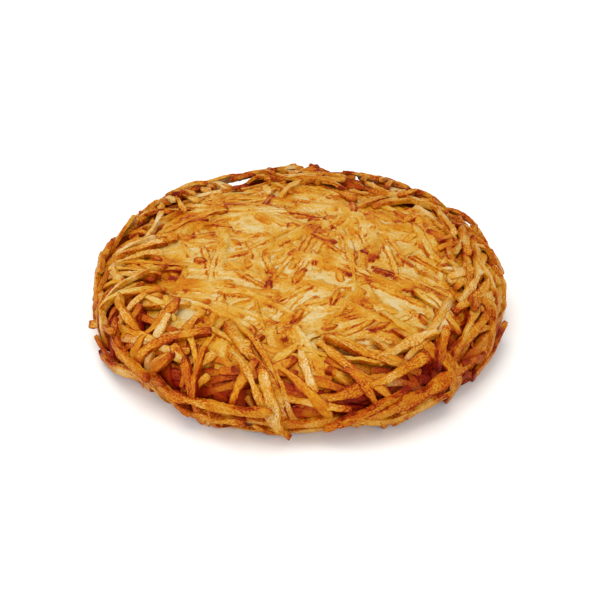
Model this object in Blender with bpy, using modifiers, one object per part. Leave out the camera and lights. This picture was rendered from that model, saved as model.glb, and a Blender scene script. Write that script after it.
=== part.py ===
"""Potato rosti: a fried cake of coarsely grated potato.

The grated strands are one cake, so the part is one solid: a turned core of packed potato, lumpy on top,
with the larger strands laid on it and fused to it. The strands follow four rules, one for each place that
they lie in: a nest of curved strands round the side, strands that drape over the shoulder, strands pressed
into the crust, and strands round the foot. A short list adds the strands that stand out most.

Metres, +Z up. The cake rests on the flat spot under its core, and the origin is in the middle of that spot.
"""

import math
import random

import bmesh
import bpy
from mathutils import Vector, noise

MM = 0.001
WELD = 0.02 * MM

# Core of packed potato, as a turned outline
CORE_RADIUS = 50.5 * MM
CROWN_HEIGHT = 18.0 * MM
SHOULDER_RADIUS = 38.0 * MM
SHOULDER_HEIGHT = 15.5 * MM
WAIST_HEIGHT = 8.0 * MM
FLAT_RADIUS = 38.0 * MM
CORE_SIDES = 32
DOME_RINGS = 5
ROUND_RINGS = 4
LUMP_HEIGHT = 1.1 * MM
LUMP_SPACING = 17.0 * MM

# Strands of a coarse grater: width and thickness of the three kinds of section
SECTIONS = ((2.9 * MM, 1.6 * MM), (2.4 * MM, 1.9 * MM), (3.3 * MM, 1.4 * MM))
STEP_LENGTH = 7.0 * MM
TAPER = 0.78

SIZE_RANGE = (0.85, 1.12)
TWIST_RANGE = (-70.0, 70.0)

# Side of the cake that the nest follows: it bulges at the waist
SIDE_RADIUS = 51.4 * MM
SIDE_BULGE = 4.5 * MM
NEST_LOW = 3.0 * MM
NEST_HIGH = 15.0 * MM
LOWEST_STRAND = 1.7 * MM

# How many strands lie in each place, and the ranges that each one is drawn from: angles in degrees
NEST_COUNT = 48
NEST_TURN = (-6.0, 6.0)
NEST_DEPTH = (-3.0 * MM, 1.3 * MM)
NEST_LENGTH = (17.0 * MM, 35.0 * MM)
NEST_DRIFT = (-2.8 * MM, 2.8 * MM)
NEST_RISE = (-5.2 * MM, 5.2 * MM)
NEST_BOW = (-1.0 * MM, 1.6 * MM)
NEST_ARCH = (-0.8 * MM, 1.2 * MM)

DRAPED_COUNT = 24
DRAPED_PLACE = (-0.35, 0.35)
DRAPED_INNER = (32.0 * MM, 40.0 * MM)
DRAPED_OUTER = (50.0 * MM, 56.0 * MM)
DRAPED_SKEW = (-32.0, 32.0)
DRAPED_LIFT = (0.3 * MM, 1.0 * MM)
DRAPED_END = (6.5 * MM, 12.5 * MM)
DRAPED_ARCH = (1.4 * MM, 2.8 * MM)

CRUST_COUNT = 24
GOLDEN_ANGLE = 137.5
CRUST_TURN = (-8.0, 8.0)
CRUST_HEADING = (0.0, 180.0)
CRUST_LENGTH = (16.0 * MM, 28.0 * MM)
CRUST_BEND = (-35.0, 35.0)
CRUST_LIFT = (-0.35 * MM, 0.35 * MM)

FOOT_COUNT = 10
FOOT_PLACE = (-0.3, 0.3)
FOOT_RADIUS = (44.0 * MM, 49.0 * MM)
FOOT_LENGTH = (20.0 * MM, 32.0 * MM)
FOOT_DRIFT = (-4.0 * MM, 4.0 * MM)
FOOT_HEIGHT = (1.7 * MM, 2.6 * MM)
FOOT_RISE = (0.0, 1.5 * MM)
FOOT_BOW = (-1.0 * MM, 1.0 * MM)

# The strands that stand out most, each from start to end as (azimuth in degrees, radius in mm, height in mm),
# and then how far its middle arches up, in mm. Azimuth runs from +X towards +Y, so the front is at -90.
STANDING_BOW = (-1.0 * MM, 1.0 * MM)
STANDING_OUT = (
    ((-124, 42, 16), (-84, 53, 5), 1.5),
    ((-71, 54, 4), (-37, 56, 10), 1.5),
    ((-136, 34, 17.5), (-132, 51, 9.5), 1.5),
    ((-127, 53, 5), (-104, 48, 8), 0.5),
    ((-174, 44, 15), (-150, 56, 6), 2.0),
    ((-151, 54, 10), (-122, 54, 3), 1.0),
    ((-155, 45, 14), (-135, 52, 8), 1.5),
    ((-148, 41, 16.5), (-137, 52, 9), 1.0),
    ((-122, 34, 18), (-97, 49, 13.5), 1.0),
    ((-104, 48, 6), (-116, 54, 2.5), 0.0),
    ((-30, 41, 16), (-52, 53, 8), 1.5),
    ((-8, 53, 12), (-31, 44, 15), 1.0),
    ((-12, 55, 10), (-38, 52, 9), 2.0),
    ((-14, 57, 6), (-38, 56, 4), 1.0),
    ((23, 39, 17), (-8, 53, 12), 1.5),
    ((3, 39, 17), (-14, 49, 13), 1.0),
    ((27, 57, 12), (6, 53, 10), 1.0),
    ((92, 43, 15), (72, 56, 13.5), 1.5),
    ((84, 56, 15), (99, 44, 15.5), 0.5),
    ((146, 57.5, 13), (158, 52, 12.5), 0.0),
    ((163, 55, 13.5), (-177, 55.5, 10.5), 1.0),
    ((-79, 49, 6), (-60, 47, 13), 1.0),
    ((-82, 46, 16), (-66, 53, 10), 0.5),
    ((-80, 36, 18.5), (-56, 53, 14), 1.0),
    ((-166, 58.5, 6), (-160, 51, 10), 0.0),
    ((-176, 57, 7), (169, 57.5, 12), 0.5),
    ((-160, 57, 6), (-144, 54.5, 3), 0.5),
    ((-66, 55, 3), (-47, 56, 5), 0.5),
    ((106, 57, 12.5), (126, 57.5, 11.5), 0.5),
    ((71, 56, 13.5), (54, 58, 12.5), 0.5),
)

# Seeds of the draws, chosen so that the outline comes close to the photograph's
NEST_SEED = 1040
DRAPED_SEED = 378
CRUST_SEED = 2
FOOT_SEED = 189
STANDING_SEED = 4

FRIED_GOLD = (0.62, 0.30, 0.075, 1.0)
CRUST_ROUGHNESS = 0.55


def clear_scene():
    for obj in list(bpy.data.objects):
        bpy.data.objects.remove(obj)


def blend(low, high, share):
    return low + (high - low) * share


def on_ring(azimuth, radius, height):
    """The point at an azimuth in degrees, from +X towards +Y, on a ring round the axis."""
    turn = math.radians(azimuth)
    return Vector((radius * math.cos(turn), radius * math.sin(turn), height))


def crust_height(radius):
    """Height of the core's top at a distance from the axis."""
    if radius <= SHOULDER_RADIUS:
        return blend(CROWN_HEIGHT, SHOULDER_HEIGHT, (radius / SHOULDER_RADIUS) ** 2)
    out = min(1.0, (radius - SHOULDER_RADIUS) / (CORE_RADIUS - SHOULDER_RADIUS))
    return WAIST_HEIGHT + (SHOULDER_HEIGHT - WAIST_HEIGHT) * math.sqrt(1.0 - out * out)


def core_outline():
    """Half of the core's section, from the crown down the outer side to the foot: (radius, height) pairs."""
    outline = []
    for ring in range(DOME_RINGS):
        radius = SHOULDER_RADIUS * ring / DOME_RINGS
        outline.append((radius, crust_height(radius)))
    above = (SHOULDER_RADIUS, SHOULDER_HEIGHT - WAIST_HEIGHT)
    below = (FLAT_RADIUS, WAIST_HEIGHT)
    for ring in range(2 * ROUND_RINGS + 1):
        turn = math.pi / 2 * (1.0 - ring / ROUND_RINGS)
        inner, height = above if turn > 0 else below
        outline.append((blend(inner, CORE_RADIUS, math.cos(turn)), WAIST_HEIGHT + height * math.sin(turn)))
    outline.append((0.0, 0.0))
    return outline


def baked(obj, name):
    """The object's evaluated shape as a new mesh object, in place of the object."""
    bpy.context.view_layer.update()
    graph = bpy.context.evaluated_depsgraph_get()
    made = bpy.data.objects.new(name, bpy.data.meshes.new_from_object(obj.evaluated_get(graph)))
    made.matrix_world = obj.matrix_world
    bpy.data.objects.remove(obj)
    return made


def close_ends(obj):
    """Welds a swept or turned shape's loose ends, so that it is one closed surface that faces outwards."""
    shape = bmesh.new()
    shape.from_mesh(obj.data)
    bmesh.ops.remove_doubles(shape, verts=shape.verts, dist=WELD)
    bmesh.ops.recalc_face_normals(shape, faces=shape.faces)
    shape.to_mesh(obj.data)
    shape.free()
    return obj


def make_core():
    """The turned core, with low lumps everywhere but on the flat spot that it rests on."""
    outline = core_outline()
    mesh = bpy.data.meshes.new("core_outline")
    points = [(radius, 0.0, height) for radius, height in outline]
    mesh.from_pydata(points, [(i, i + 1) for i in range(len(points) - 1)], [])
    turned = bpy.data.objects.new("core_outline", mesh)
    bpy.context.collection.objects.link(turned)
    screw = turned.modifiers.new("turned", "SCREW")
    screw.steps = CORE_SIDES
    screw.render_steps = CORE_SIDES
    screw.use_merge_vertices = True
    screw.merge_threshold = WELD
    core = close_ends(baked(turned, "core"))
    for vertex in core.data.vertices:
        place = vertex.co
        lump = LUMP_HEIGHT * noise.noise(place / LUMP_SPACING)
        outward = Vector((place.x, place.y, 0.0)) / CORE_RADIUS
        vertex.co = place + outward * lump
        vertex.co.z += lump * place.z / CROWN_HEIGHT
    return core


def ring_strand(start, end, bow, arch):
    """A strand that turns round the axis from start to end, each (azimuth, radius, height).

    bow pushes its middle outwards, and arch lifts it."""
    length = math.hypot(
        math.radians(end[0] - start[0]) * (start[1] + end[1]) / 2, end[1] - start[1], end[2] - start[2]
    )
    steps = max(3, round(length / STEP_LENGTH))
    points = []
    for step in range(steps + 1):
        share = step / steps
        hump = 4.0 * share * (1.0 - share)
        azimuth, radius, height = (blend(a, b, share) for a, b in zip(start, end))
        points.append(on_ring(azimuth, radius + bow * hump, height + arch * hump))
    return points


def crust_strand(azimuth, radius, heading, length, bend, lift):
    """A strand that lies along the crust: heading is in degrees from +X, and bend is how far it turns."""
    steps = max(3, round(length / STEP_LENGTH))
    middle = on_ring(azimuth, radius, 0.0)
    points = [middle]
    for side in (-1, 1):
        place = middle.copy()
        for step in range(steps // 2):
            turn = math.radians(heading + bend * side * (step + 0.5) / steps)
            place = place + side * length / steps * Vector((math.cos(turn), math.sin(turn), 0.0))
            points.insert(0 if side < 0 else len(points), place)
    return [Vector((p.x, p.y, crust_height(math.hypot(p.x, p.y)) + lift)) for p in points]


def side_radius(height):
    """Distance of the nest from the axis at a height."""
    middle = (NEST_LOW + NEST_HIGH) / 2
    away = (height - middle) / (NEST_HIGH - middle)
    return SIDE_RADIUS + SIDE_BULGE * (1.0 - away * away)


def nest_strands(draw):
    """Curved strands round the side, low ones first."""
    for i in range(NEST_COUNT):
        azimuth = GOLDEN_ANGLE * i + draw.uniform(*NEST_TURN)
        height = blend(NEST_LOW, NEST_HIGH, (i + 0.5) / NEST_COUNT)
        radius = side_radius(height) + draw.uniform(*NEST_DEPTH)
        span = math.degrees(draw.uniform(*NEST_LENGTH) / radius)
        drift, rise = draw.uniform(*NEST_DRIFT), draw.uniform(*NEST_RISE)
        start = (azimuth - span / 2, radius - drift, max(LOWEST_STRAND, height - rise))
        end = (azimuth + span / 2, radius + drift, max(LOWEST_STRAND, height + rise))
        yield ring_strand(start, end, draw.uniform(*NEST_BOW), draw.uniform(*NEST_ARCH))


def draped_strands(draw):
    """Strands from the shoulder of the crust, out over the edge and down."""
    for i in range(DRAPED_COUNT):
        azimuth = 360.0 * (i + draw.uniform(*DRAPED_PLACE)) / DRAPED_COUNT
        inner = draw.uniform(*DRAPED_INNER)
        outer = draw.uniform(*DRAPED_OUTER)
        skew = draw.uniform(*DRAPED_SKEW)
        start = (azimuth - skew / 2, inner, crust_height(inner) + draw.uniform(*DRAPED_LIFT))
        end = (azimuth + skew / 2, outer, draw.uniform(*DRAPED_END))
        yield ring_strand(start, end, 0.0, draw.uniform(*DRAPED_ARCH))


def crust_strands(draw):
    """Strands pressed into the top, spread evenly by the golden angle."""
    for i in range(CRUST_COUNT):
        radius = SHOULDER_RADIUS * math.sqrt((i + 0.5) / CRUST_COUNT)
        azimuth = GOLDEN_ANGLE * i + draw.uniform(*CRUST_TURN)
        heading, length = draw.uniform(*CRUST_HEADING), draw.uniform(*CRUST_LENGTH)
        bend, lift = draw.uniform(*CRUST_BEND), draw.uniform(*CRUST_LIFT)
        yield crust_strand(azimuth, radius, heading, length, bend, lift)


def foot_strands(draw):
    """Strands round the foot, just clear of the table."""
    for i in range(FOOT_COUNT):
        azimuth = 360.0 * (i + draw.uniform(*FOOT_PLACE)) / FOOT_COUNT
        radius = draw.uniform(*FOOT_RADIUS)
        span = math.degrees(draw.uniform(*FOOT_LENGTH) / radius)
        drift = draw.uniform(*FOOT_DRIFT)
        height = draw.uniform(*FOOT_HEIGHT)
        start = (azimuth - span / 2, radius - drift, height)
        end = (azimuth + span / 2, radius + drift, height + draw.uniform(*FOOT_RISE))
        yield ring_strand(start, end, draw.uniform(*FOOT_BOW), 0.0)


def standing_out(draw):
    """The strands of STANDING_OUT, each with a little sideways bow."""
    for start, end, arch in STANDING_OUT:
        turn = (end[0] - start[0] + 180.0) % 360.0 - 180.0
        first = (start[0], start[1] * MM, start[2] * MM)
        last = (start[0] + turn, end[1] * MM, end[2] * MM)
        yield ring_strand(first, last, draw.uniform(*STANDING_BOW), arch * MM)


def make_section(index, width, thickness):
    """The outline that a strand's curve carries: a rectangle."""
    outline = bpy.data.curves.new(f"section_{index}", "CURVE")
    outline.dimensions = "2D"
    outline.fill_mode = "NONE"
    spline = outline.splines.new("POLY")
    spline.points.add(3)
    corners = ((-1, -1), (1, -1), (1, 1), (-1, 1))
    for point, (across, up) in zip(spline.points, corners):
        point.co = (across * width / 2, up * thickness / 2, 0.0, 1.0)
    spline.use_cyclic_u = True
    section = bpy.data.objects.new(f"section_{index}", outline)
    section.hide_render = True
    section.display_type = "WIRE"
    return section


def make_strand(name, points, section, size, twist):
    """A strand as a closed mesh: a straight-edged section carried along its points, thinner at both ends."""
    curve = bpy.data.curves.new(name, "CURVE")
    curve.dimensions = "3D"
    curve.twist_mode = "Z_UP"
    curve.bevel_mode = "OBJECT"
    curve.bevel_object = section
    curve.use_fill_caps = True
    spline = curve.splines.new("POLY")
    spline.points.add(len(points) - 1)
    last = len(points) - 1
    for i, (point, place) in enumerate(zip(spline.points, points)):
        share = i / last
        point.co = (*place, 1.0)
        point.radius = size * blend(TAPER, 1.0, min(1.0, 6.0 * share * (1.0 - share)))
        point.tilt = math.radians(twist) * (share - 0.5)
    carried = bpy.data.objects.new(name, curve)
    bpy.context.collection.objects.link(carried)
    return close_ends(baked(carried, name))


def fuse(core, strands):
    """Joins the strands to the core and keeps the one body that shows: sealed hollows and scraps go."""
    bpy.context.collection.objects.link(core)
    union = core.modifiers.new("fused", "BOOLEAN")
    union.operation = "UNION"
    union.operand_type = "COLLECTION"
    union.collection = strands
    union.solver = "MANIFOLD"
    fused = baked(core, "rosti")
    for strand in list(strands.objects):
        bpy.data.objects.remove(strand)
    bpy.data.collections.remove(strands)
    keep_largest_body(fused.data)
    return fused


def keep_largest_body(mesh):
    shape = bmesh.new()
    shape.from_mesh(mesh)
    bmesh.ops.triangulate(shape, faces=shape.faces)
    unseen = set(shape.faces)
    bodies = []
    while unseen:
        body, to_visit = [], [unseen.pop()]
        while to_visit:
            face = to_visit.pop()
            body.append(face)
            joints = [edge for edge in face.edges if edge.is_manifold]
            near = {other for edge in joints for other in edge.link_faces} & unseen
            unseen -= near
            to_visit.extend(near)
        bodies.append(body)
    bodies.sort(key=len)
    loose = [face for body in bodies[:-1] for face in body]
    bmesh.ops.delete(shape, geom=loose, context="FACES")
    shape.to_mesh(mesh)
    shape.free()


def fried_potato():
    material = bpy.data.materials.new("fried_potato")
    material.use_nodes = True
    surface = material.node_tree.nodes["Principled BSDF"]
    surface.inputs["Base Color"].default_value = FRIED_GOLD
    surface.inputs["Roughness"].default_value = CRUST_ROUGHNESS
    surface.inputs["Metallic"].default_value = 0.0
    return material


def main():
    clear_scene()
    sections = [make_section(i, *size) for i, size in enumerate(SECTIONS)]
    strands = bpy.data.collections.new("strands")
    bpy.context.scene.collection.children.link(strands)
    places = (
        (nest_strands, NEST_SEED), (draped_strands, DRAPED_SEED), (crust_strands, CRUST_SEED),
        (foot_strands, FOOT_SEED), (standing_out, STANDING_SEED),
    )
    for place, seed in places:
        draw = random.Random(seed)
        for i, points in enumerate(place(draw)):
            section = sections[draw.randrange(len(sections))]
            size, twist = draw.uniform(*SIZE_RANGE), draw.uniform(*TWIST_RANGE)
            strands.objects.link(make_strand(f"{place.__name__}_{i}", points, section, size, twist))
    rosti = fuse(make_core(), strands)
    for section in sections:
        bpy.data.objects.remove(section)
    rosti.data.materials.clear()
    rosti.data.materials.append(fried_potato())
    collection = bpy.data.collections.new("potato_rosti")
    bpy.context.scene.collection.children.link(collection)
    collection.objects.link(rosti)


main()
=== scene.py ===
import math
import random

import bmesh
import bpy
import numpy as np
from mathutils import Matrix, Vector, noise


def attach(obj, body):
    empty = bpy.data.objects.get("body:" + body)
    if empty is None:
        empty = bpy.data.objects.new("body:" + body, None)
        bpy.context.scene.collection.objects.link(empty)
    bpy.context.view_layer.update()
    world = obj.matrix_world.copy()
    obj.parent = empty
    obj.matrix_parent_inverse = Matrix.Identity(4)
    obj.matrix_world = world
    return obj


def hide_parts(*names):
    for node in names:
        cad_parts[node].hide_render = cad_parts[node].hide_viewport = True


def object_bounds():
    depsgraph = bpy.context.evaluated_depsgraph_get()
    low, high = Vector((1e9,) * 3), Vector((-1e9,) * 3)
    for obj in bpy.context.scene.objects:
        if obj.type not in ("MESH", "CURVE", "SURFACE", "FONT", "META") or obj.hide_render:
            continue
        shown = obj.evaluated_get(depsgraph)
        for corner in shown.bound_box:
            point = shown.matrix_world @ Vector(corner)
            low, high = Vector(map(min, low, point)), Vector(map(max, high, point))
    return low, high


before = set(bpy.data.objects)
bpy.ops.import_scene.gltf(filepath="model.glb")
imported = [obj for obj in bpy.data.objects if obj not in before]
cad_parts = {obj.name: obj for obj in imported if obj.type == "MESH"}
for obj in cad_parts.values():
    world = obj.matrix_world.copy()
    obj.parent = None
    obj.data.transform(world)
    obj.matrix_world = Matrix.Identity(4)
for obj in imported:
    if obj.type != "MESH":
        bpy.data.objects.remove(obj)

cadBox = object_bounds()
mm = 0.001
noise.seed_set(16)      # noise_vector would otherwise start from the clock
strandBox = np.array(cadBox) / mm + ((0.1, 0.1, 0.03), (-0.1, -0.1, -0.1))     # what the strands keep inside of
goldenAngle = 137.5     # turns each next strand away from the last, so that they spread evenly


def toLinear(hexColour):
    channels = (int(hexColour[i:i + 2], 16) / 255.0 for i in (1, 3, 5))
    return tuple(c / 12.92 if c <= 0.04045 else ((c + 0.055) / 1.055) ** 2.4 for c in channels) + (1.0,)


def blend(low, high, share):
    return low + (high - low) * share


def smoothStep(low, high, value):
    share = np.clip((value - low) / (high - low), 0.0, 1.0)
    return share * share * (3.0 - 2.0 * share)


# the photo's camera; it was fitted to the cake's outline
photoCamera = {"aim": (0.0, 0.0, 0.004), "elevation": 36.0, "distance": 0.3286, "lens": 70.0, "sensor": 36.0}
photoSide = 600         # width and height of the photo in pixels


def cameraPlace():
    # where the camera is, and the way from what it aims at to there
    rise = math.radians(photoCamera["elevation"])
    away = Vector((0.0, -math.cos(rise), math.sin(rise))) * photoCamera["distance"]
    return Vector(photoCamera["aim"]) + away, away


def noiseAt(points, spacing, shift=(0.0, 0.0, 0.0)):
    shift = Vector(shift)
    return np.array([noise.noise(Vector(point) / spacing + shift) for point in points])


# form of the cake, in mm, as the solid has it
cake = {
    "coreRadius": 50.5,
    "crownHeight": 18.0,
    "shoulderRadius": 38.0,
    "shoulderHeight": 15.5,
    "waistHeight": 8.0,
    "flatRadius": 38.0,
    "lumpHeight": 1.1,
    "lumpSpacing": 17.0,
}


def cakeOutline():
    # (radius, height) from the crown down the side to the foot, with the distance walked and the outward normal
    inner = np.linspace(0.0, cake["shoulderRadius"], 80, endpoint=False)
    dome = blend(cake["crownHeight"], cake["shoulderHeight"], (inner / cake["shoulderRadius"]) ** 2)
    turn = np.linspace(math.pi / 2, -math.pi / 2, 120)
    centre = np.where(turn > 0, cake["shoulderRadius"], cake["flatRadius"])
    reach = np.where(turn > 0, cake["shoulderHeight"] - cake["waistHeight"], cake["waistHeight"])
    radius = np.concatenate((inner, centre + (cake["coreRadius"] - centre) * np.cos(turn)))
    height = np.concatenate((dome, cake["waistHeight"] + reach * np.sin(turn)))
    walked = np.concatenate(([0.0], np.cumsum(np.hypot(np.diff(radius), np.diff(height)))))
    return walked, radius, height, -np.gradient(height, walked), np.gradient(radius, walked)


walked, outlineRadius, outlineHeight, normalOut, normalUp = cakeOutline()
footWalk = walked[-1]


def crustHeight(radius):
    return float(np.interp(radius, outlineRadius[:140], outlineHeight[:140]))


def onCake(walk, azimuth, offset):
    # points and normals at a distance walked from the crown, an azimuth in radians and a height off the core
    radius = np.interp(walk, walked, outlineRadius)
    height = np.interp(walk, walked, outlineHeight)
    out, up = np.interp(walk, walked, normalOut), np.interp(walk, walked, normalUp)
    size = np.hypot(out, up)
    out, up = out / size, up / size
    reach = radius + offset * out
    points = np.column_stack((reach * np.cos(azimuth), reach * np.sin(azimuth), height + offset * up))
    normals = np.column_stack((out * np.cos(azimuth), out * np.sin(azimuth), up))
    return points, normals


def fromCake(points):
    # the other way: how far each point has walked from the crown, its azimuth and its height off the core
    radius = np.hypot(points[:, 0], points[:, 1])
    away = np.hypot(radius[:, None] - outlineRadius[None, :], points[:, 2][:, None] - outlineHeight[None, :])
    nearest = away.argmin(axis=1)
    offset = (radius - outlineRadius[nearest]) * normalOut[nearest]
    offset += (points[:, 2] - outlineHeight[nearest]) * normalUp[nearest]
    return walked[nearest], np.arctan2(points[:, 1], points[:, 0]), offset


def lumpAt(x, y, z):
    spacing = cake["lumpSpacing"]
    return cake["lumpHeight"] * noise.noise(Vector((x / spacing, y / spacing, z / spacing)))


# heap: how high the strands lie over the core, on a map that is the crust rolled out flat
heapMap = {"half": 73.5, "step": 0.3}
heapSide = int(2 * heapMap["half"] / heapMap["step"]) + 1


def mapCell(walk, azimuth):
    column = (walk * np.cos(azimuth) + heapMap["half"]) / heapMap["step"]
    row = (walk * np.sin(azimuth) + heapMap["half"]) / heapMap["step"]
    return tuple(np.clip(np.rint(cell).astype(int), 0, heapSide - 1) for cell in (column, row))


def bareHeap():
    axis = np.arange(heapSide) * heapMap["step"] - heapMap["half"]
    across, along = np.meshgrid(axis, axis, indexing="ij")
    walk = np.hypot(across, along).ravel()
    azimuth = np.arctan2(along, across).ravel()
    points, normals = onCake(walk, azimuth, 0.0)
    lumps = np.array([lumpAt(*point) for point in points])
    outward = np.hypot(points[:, 0], points[:, 1]) / cake["coreRadius"] * np.hypot(normals[:, 0], normals[:, 1])
    upward = points[:, 2] / cake["crownHeight"] * normals[:, 2]
    return (lumps * (outward + upward)).reshape(heapSide, heapSide)


bareCore = bareHeap()
heap = bareCore.copy()
print("heap map", heap.shape)


def sideways(path, shift):
    # the path's own places, moved sideways over the crust by a shift in mm
    walk, azimuth, heading = path
    radius = np.maximum(1.0, np.interp(walk, walked, outlineRadius))
    return walk - np.sin(heading) * shift, azimuth + np.cos(heading) * shift / radius


def tracePath(walk, azimuth, heading, length, bend):
    # a straight strand laid on the crust from its middle both ways, turning by bend over its length; in radians
    halves = []
    steps = max(3, round(length / 2))
    stride = length / 2 / steps
    for side in (-1, 1):
        reached, bearing, course = walk, azimuth, heading
        places = [(reached, bearing, course)]
        for _ in range(steps):
            radius = max(1.0, float(np.interp(reached, walked, outlineRadius)))
            spread = float(np.interp(reached, walked, normalUp))
            reached += math.cos(course) * stride * side
            bearing += math.sin(course) * stride * side / radius
            course += (bend / length - spread / radius * math.sin(course)) * stride * side
            if reached < 0.0:       # it has crossed the crown
                reached, bearing, course = -reached, bearing + math.pi, course - math.pi
            reached = min(reached, footWalk - 0.5)
            places.append((reached, bearing, course))
        halves.append(places)
    return np.array(halves[0][:0:-1] + halves[1]).T


# how far off the core the middle of a strand may lie, by distance walked from the crown
heapRoom = (
    (0.0, 0.7), (15.0, 0.9), (26.0, 1.1), (38.0, 1.4), (45.0, 1.9),
    (52.0, 3.6), (57.0, 3.8), (62.0, 2.0), (70.0, 0.5),
)


def settle(path, width, thickness, sink, room):
    # heights at which a strand comes to lie on what is there already: it is stiff, so it bridges the dips
    highest = room * np.interp(path[0], *zip(*heapRoom))
    base = np.max([heap[mapCell(*sideways(path, shift * width))] for shift in (-0.3, 0.0, 0.3)], axis=0)
    lying = base + thickness / 2 - sink
    offset = lying.copy()
    kernel = np.ones(5) / 5.0
    for _ in range(4):
        padded = np.pad(offset, 2, mode="edge")
        offset = np.maximum(lying - 0.25, np.convolve(padded, kernel, mode="valid"))
    padded = np.pad(offset, 2, mode="edge")
    offset = np.convolve(padded, kernel, mode="valid")
    return np.minimum(offset, highest)


def finePath(path, offset):
    # the same path with a place every fifth of a millimetre or so; azimuth and heading don't jump
    places = np.arange(len(offset))
    fine = np.linspace(0, len(offset) - 1, 5 * len(offset))
    azimuth = np.unwrap(path[1])
    jumps = np.abs(np.diff(azimuth)) > 1.2    # across the crown the azimuth turns by half a circle
    keep = ~jumps[np.clip(fine.astype(int), 0, len(jumps) - 1)]
    rows = [np.interp(fine, places, row)[keep] for row in (path[0], azimuth, path[2], offset)]
    return rows[:3], rows[3], fine[keep] / (len(offset) - 1)


def pressIn(path, offset, width, thickness):
    # adds a settled strand to the heap map
    fine, height, _ = finePath(path, offset)
    for shift in np.linspace(-0.42, 0.42, 11):
        rounded = math.sqrt(1.0 - shift * shift * 2.4)
        np.maximum.at(heap, mapCell(*sideways(fine, shift * width)), height + thickness / 2 * rounded)


def patchTone(x, y, seed):
    return noise.noise(Vector((x / 14.0, y / 14.0, seed)))


def laidStrand(draw, path, offset, width, thickness, **looks):
    points, normals = onCake(path[0], path[1], offset)
    strand = {
        "points": points, "normals": normals, "width": width, "thickness": thickness,
        "boxy": draw.uniform(5.0, 10.0), "twist": (0.0, 0.0),
        "luck": draw.random(), "ends": (draw.random(), draw.random()), "tone": 0.0, "seed": draw.uniform(0, 100),
        "walk": path[0], "azimuth": path[1], "offset": offset,
    }
    strand.update(looks)
    return strand


# strands that show how the crust's grain runs: the pixels of both ends, read in the photo
grainMarks = (
    ((262, 329), (370, 282)), ((250, 215), (306, 238)), ((271, 253), (320, 245)), ((255, 246), (278, 280)),
    ((288, 298), (316, 260)), ((324, 267), (362, 284)), ((369, 231), (379, 256)), ((348, 221), (358, 246)),
    ((184, 354), (208, 318)), ((229, 325), (264, 357)), ((180, 259), (222, 270)), ((180, 240), (230, 242)),
    ((355, 297), (399, 312)), ((325, 343), (390, 358)), ((267, 350), (330, 335)), ((206, 205), (250, 200)),
    ((420, 210), (450, 225)), ((395, 190), (430, 215)), ((150, 235), (200, 225)), ((150, 260), (190, 275)),
    ((430, 270), (460, 300)), ((200, 290), (240, 300)),
)
chosenGrain = ((15, -26, 24), (0, 34, 160))     # two more, given: x and y in mm, heading in degrees
markHeight = 16.5       # about how high the crust is there, in mm


def onCrust(pixel):
    # the place in mm that a pixel of the photo shows, at the crust's height
    place, away = (np.array(value) for value in cameraPlace())
    back = away / photoCamera["distance"]
    up = np.array((0.0, back[2], -back[1]))
    across, rise = (pixel[0] / photoSide - 0.5), (0.5 - pixel[1] / photoSide)
    wide = photoCamera["sensor"] / photoCamera["lens"]
    ray = up * rise * wide - back + np.array((across * wide, 0.0, 0.0))
    return (place + ray * (markHeight * mm - place[2]) / ray[2]) / mm


def readGrain(marks):
    # middle and heading of each mark, to the mm and the degree, which is as close as they can be read
    grain = []
    for first, last in marks:
        start, end = onCrust(first), onCrust(last)
        middle = (start + end) / 2
        heading = math.degrees(math.atan2(end[1] - start[1], end[0] - start[0])) % 180.0
        grain.append((round(middle[0]), round(middle[1]), round(heading)))
    return tuple(grain)


crustGrain = readGrain(grainMarks) + chosenGrain


def grainAt(draw, x, y):
    # heading of the strands nearby: the closer a mark is, the likelier it is followed
    weights = [1.0 / (4.0 + (x - markX) ** 2 + (y - markY) ** 2) ** 1.5 for markX, markY, _ in crustGrain]
    return math.radians(draw.choices(crustGrain, weights)[0][2])


# and round the rim: azimuth, and slant of the strands to the rim; beyond 0 they run inward anticlockwise
rimGrain = (
    (-180, -35), (-155, -40), (-132, 75), (-112, 80), (-98, -50), (-80, -30), (-55, 5),
    (-25, -10), (10, -20), (45, 10), (90, 0), (135, 10), (180, -35),
)


def beside(walk, azimuth, heading, shift, slide):
    # the place beside and further along a strand, worked out on the rolled-out crust
    turn = azimuth + heading
    x = walk * math.cos(azimuth) + slide * math.cos(turn) - shift * math.sin(turn)
    y = walk * math.sin(azimuth) + slide * math.sin(turn) + shift * math.cos(turn)
    azimuth = math.atan2(y, x)
    return math.hypot(x, y), azimuth, turn - azimuth


def placeOf(draw, rule, i):
    # middle of a strand somewhere in the rule's ring, along the grain of the crust or round the side
    azimuth = math.radians(goldenAngle * i + draw.uniform(-9.0, 9.0))
    low, high = rule["walk"]
    walk = math.sqrt(blend(low * low, high * high, (i + draw.random()) / rule["count"]))
    if "slant" in rule:
        walk = draw.uniform(low, high)
        slant = np.interp(math.degrees(math.remainder(azimuth, 2 * math.pi)), *zip(*rimGrain))
        heading = math.pi / 2 + math.radians(slant + draw.gauss(0.0, rule["slant"]))
    elif "cross" in rule:
        walk = draw.uniform(low, high)
        heading = math.radians(draw.gauss(0.0, rule["cross"]))
    elif "lean" in rule:
        walk = draw.uniform(low, high)
        heading = math.pi / 2 + math.radians(draw.triangular(-rule["lean"], rule["lean"], 0.0))
    else:
        grain = grainAt(draw, walk * math.cos(azimuth), walk * math.sin(azimuth))
        heading = grain + math.radians(draw.gauss(0.0, rule.get("scatter", 16.0))) - azimuth
    return walk, azimuth, heading


def pathOf(draw, rule, i):
    bend = math.radians(draw.uniform(-rule["bend"], rule["bend"]))
    return tracePath(*placeOf(draw, rule, i), draw.uniform(*rule["length"]), bend)


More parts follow.
